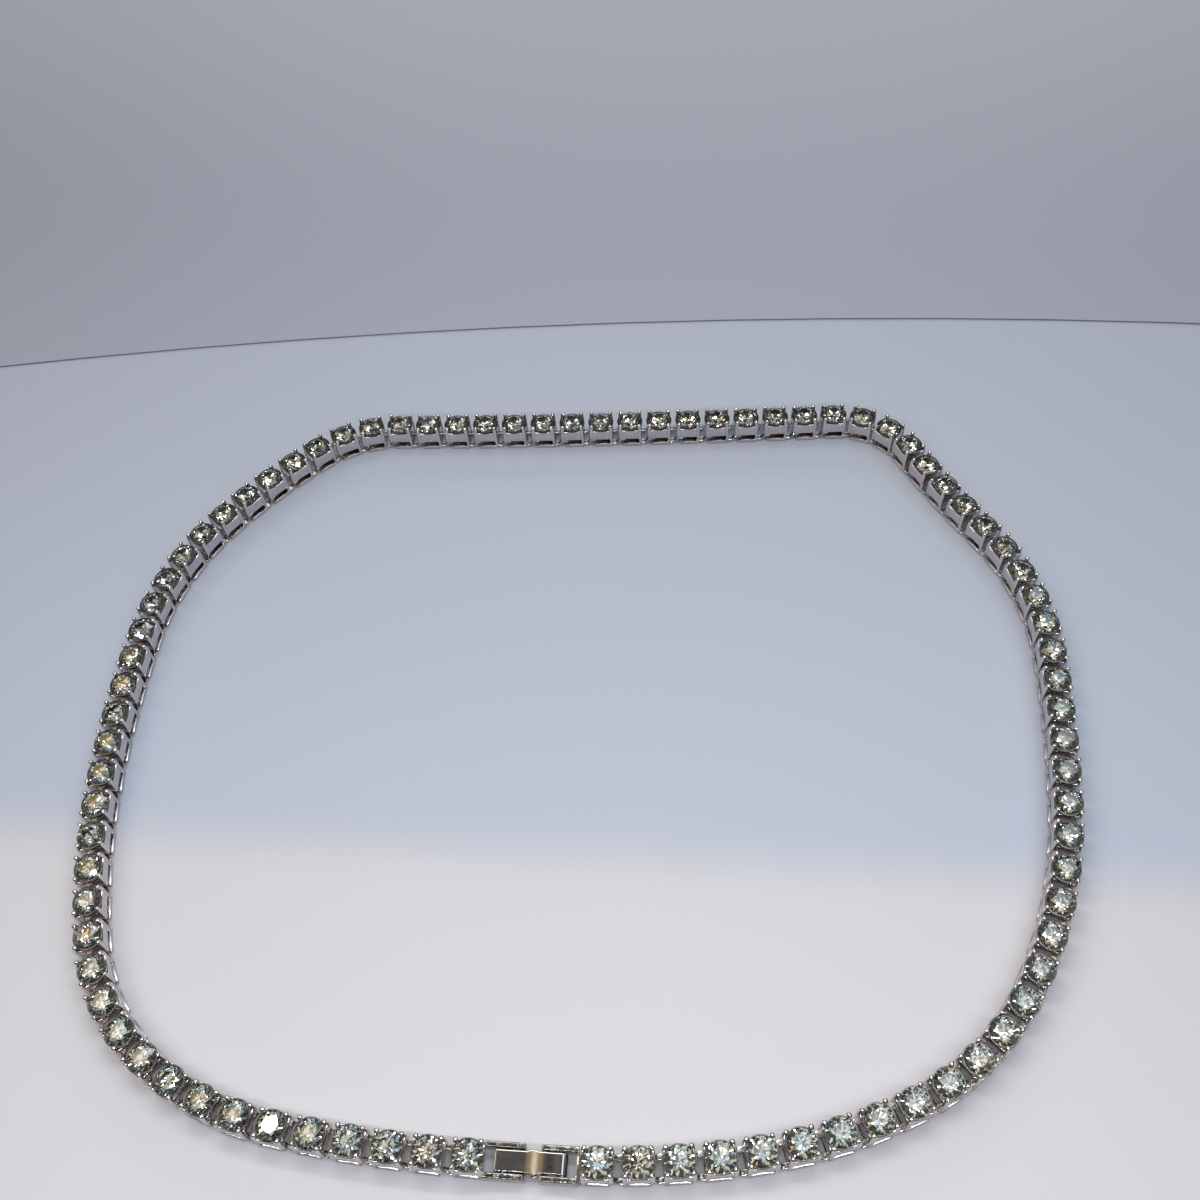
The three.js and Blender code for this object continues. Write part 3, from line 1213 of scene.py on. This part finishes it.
@dataclass
class Studio:
    """The table, a matt card on it behind the necklace, the lamps and the room's own light."""

    half: float = 1600.0
    card_top: float = 0.3
    card_bow: float = 4.6e-4
    card_crest: tuple[float, float] = (80.0, 151.0)
    card_fall: float = 60.0
    card_points: int = 161
    # The table's colour change is painted shade: a soft step to a darker, bluer tone behind the
    # clasp.
    table: PaleSheet = PaleSheet("pale_table_painted_shade", near=(0.61, 0.595, 0.645), far=(0.46, 0.5, 0.62),
                                 change_start=-0.026, change_end=-0.014)
    # The card's colour is painted shade: darker than the table, and lightest at its rear.
    card: PaleSheet = PaleSheet("pale_card_painted_shade", near=(0.39, 0.408, 0.515), far=(0.515, 0.545, 0.67),
                                change_start=0.1, change_end=0.22)
    backdrop: Colour = (0.42, 0.435, 0.49)
    shade: Colour = (0.036, 0.035, 0.038)
    walls: tuple[WallPatches, ...] = (
        WallPatches(1.7, 0.46, 0.66, (0.19, 0.14, 0.085)),
        WallPatches(2.3, 0.44, 0.64, (0.18, 0.205, 0.205)),
    )
    glows: tuple[Glow, ...] = (
        Glow((-0.29, 0.18, 0.94), 0.964, 0.98, (0.148, 0.139, 0.145)),
        Glow((-0.29, 0.18, 0.94), 0.986, 0.9985, (0.52, 0.39, 0.24)),
        Glow((-0.4, 0.18, 0.9), 0.9872, 0.9905, (1.75, 1.5, 1.15)),
        Glow((0.24, 0.33, 0.913), 0.955, 0.965, (1.3, 1.58, 1.76)),
        Glow((-0.08, 0.45, 0.889), 0.978, 0.988, (0.74, 1.03, 1.22)),
        Glow((-0.6, 0.28, 0.749), 0.963, 0.975, (1.4, 1.0, 0.5)),
        Glow((0.1, -0.2, 0.975), 0.971, 0.981, (1.62, 1.42, 1.08)),
    )
    lamps: tuple[DistantLamp, ...] = (
        DistantLamp("left_window", -75.0, 51.0, 28.0, 0.2, (0.84, 0.94, 1.0)),
        DistantLamp("right_window", 95.0, 60.0, 30.0, 0.18, (0.88, 0.95, 1.0)),
    )
    strips: tuple[StripLamp, ...] = (
        StripLamp("centre_strip", (0.0, 0.022, 0.2), 0.2, 0.012, 0.122, (1.0, 0.92, 0.8)),
        StripLamp("front_strip", (0.01, -0.09, 0.15), 0.3, 0.0018, 0.17, (0.9, 0.95, 1.0)),
        StripLamp("wall_wash", (0.0, 1.1, 0.6), 1.0, 0.3, 2.9, (0.92, 0.95, 1.0), -25.0),
    )

    def build(self, origin: np.ndarray) -> None:
        """Builds it all.

        Args:
            origin: The middle of the clasp, which the card is placed from.
        """
        table = make_mesh("table_top", [self.sheet(np.array([-self.half, self.half]),
                                                   np.array([-self.half, -self.half]), 0.0)],
                          [self.table.material()])
        x = np.linspace(-self.half, self.half, self.card_points)
        fall = np.minimum(self.card_bow * (self.card_crest[0] - x) ** 2, self.card_fall)
        edge = self.card_crest[1] - fall
        card = make_mesh("card_behind", [self.sheet(x + origin[0], edge + origin[1], self.card_top)],
                         [self.card.material()])
        for lamp in (*self.lamps, *self.strips):
            lamp.build()
        self.add_room()

    def sheet(self, x: np.ndarray, front: np.ndarray, height: float) -> Surface:
        """A flat sheet from its front edge to the table's far side, as a strip of quads.

        Args:
            x: X of each point of the front edge.
            front: Y of each point of the front edge.
            height: The sheet's height.

        Returns:
            The open sheet, facing up.
        """
        count = len(x)
        rows = [np.column_stack([x, y, np.full(count, height)])
                for y in (front, np.full(count, self.half))]
        k = np.arange(count - 1)
        quads = np.stack([k, k + 1, count + k + 1, count + k], axis=-1)
        return Surface(np.concatenate(rows), [quads])

    def add_room(self) -> None:
        """Lights the room's dark walls with patches and glows. The camera sees a plain backdrop."""
        world = bpy.data.worlds.new("room")
        world.use_nodes = True
        board = Board(world.node_tree)
        place = board.add("TexCoord").outputs["Generated"]
        layers = [(board.noise(place, wall.scale, 1.0), wall) for wall in self.walls]
        for glow in self.glows:
            near = board.add("VectorMath", operation="DOT_PRODUCT", Vector=place)
            near.inputs[1].default_value = Vector(glow.toward).normalized()
            layers.append((near.outputs["Value"], glow))
        colour: object = self.shade
        for source, light in layers:
            share = board.ranged(source, light.start, light.full, shape="SMOOTHSTEP")
            colour = board.mixed(share, colour, light.colour)
        seen = board.add("LightPath").outputs["Is Camera Ray"]
        board.fill(board.tree.nodes["Background"], Color=board.mixed(seen, colour, self.backdrop))
        bpy.context.scene.world = world


def save_sizes() -> None:
    """Brings the view layer up to date.
    """
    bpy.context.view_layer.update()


def main() -> None:
    """Builds the camera, the chain, the clasp and the studio."""
    logging.basicConfig(level=logging.INFO, format="%(name)s: %(message)s")
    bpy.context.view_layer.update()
    clasp = Clasp()
    low, high = (np.array(corner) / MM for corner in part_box("clasp_base_leaf"))
    origin = np.array([low[0] - clasp.leaf_left, (low[1] + high[1]) / 2, 0.0])
    Camera().build(origin)
    plate = PlatedMetal("plated_setting", bright=(0.66, 0.61, 0.61), shade=(0.57, 0.53, 0.54),
                        smooth=0.14, rough=0.26, scratch=0.25, dents=0.15)
    claw = PlatedMetal("plated_claw", bright=(0.68, 0.67, 0.65), shade=(0.6, 0.58, 0.56),
                       smooth=0.08, rough=0.15, scratch=0.1, dents=0.1)
    # The rails' colours are painted shade: the same plated metal as the settings, drawn darker.
    rail = PlatedMetal("plated_rail_painted_shade", bright=(0.4, 0.38, 0.355), shade=(0.24, 0.225, 0.21),
                       smooth=0.06, rough=0.14, scratch=0.1, dents=0.9)
    leaf = PlatedMetal("plated_leaf", bright=(0.5, 0.48, 0.46), shade=(0.46, 0.44, 0.43),
                       smooth=0.06, rough=0.11, scratch=0.015)
    gem = CutStone("cut_stone")
    # The seat's near-black colours are painted shade in the hollows under the stones.
    painted_shade_seat = PlatedMetal("plated_seat_painted_shade", bright=(0.13, 0.125, 0.12), shade=(0.09, 0.087, 0.084),
                       smooth=0.14, rough=0.26, scratch=0.2)
    Chain(Route(), origin).build([m.material() for m in (plate, claw, painted_shade_seat)], gem.material())
    build_clasp(clasp, origin, rail.material(), leaf.material())
    Studio().build(origin)
    bpy.context.scene.view_settings.view_transform = "Standard"
    save_sizes()


if __name__ == "__main__":
    main()
